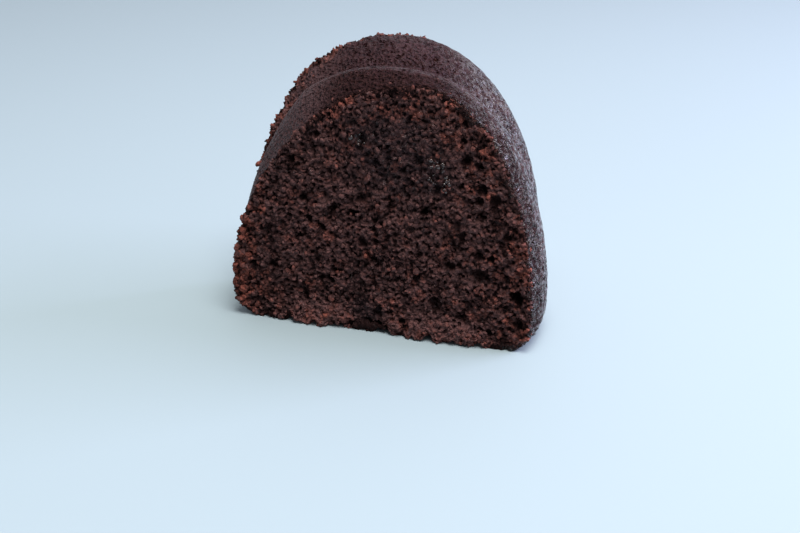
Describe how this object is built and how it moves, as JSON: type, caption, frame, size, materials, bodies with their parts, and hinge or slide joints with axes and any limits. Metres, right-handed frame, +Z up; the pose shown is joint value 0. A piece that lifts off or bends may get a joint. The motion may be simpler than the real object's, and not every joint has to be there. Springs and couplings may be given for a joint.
{
  "type": "slice of rum cake",
  "caption": "Wedge of dark chocolate rum ring cake from a fluted ring pan, with two open crumb cuts and a lobed crust, standing on its flat foot",
  "frame": {"origin": "on the surface that the slice stands on, under the middle of its bounding box", "axes": "+X from the hole side of the ring out to the fluted outer wall along the front cut, +Y from the front cut back to the rear cut, +Z up"},
  "size_m": [0.0966, 0.0704, 0.0769],
  "materials": {
    "crumb": "dark chocolate crumb, rough and open, reddish brown on the dry grains and near black in the holes and the moist parts",
    "crust": "baked chocolate crust, dark purplish brown, finely pored, with a dull sheen"
  },
  "bodies": {
    "root": {"cake_slice": "crumb"}
  },
  "joints": []
}
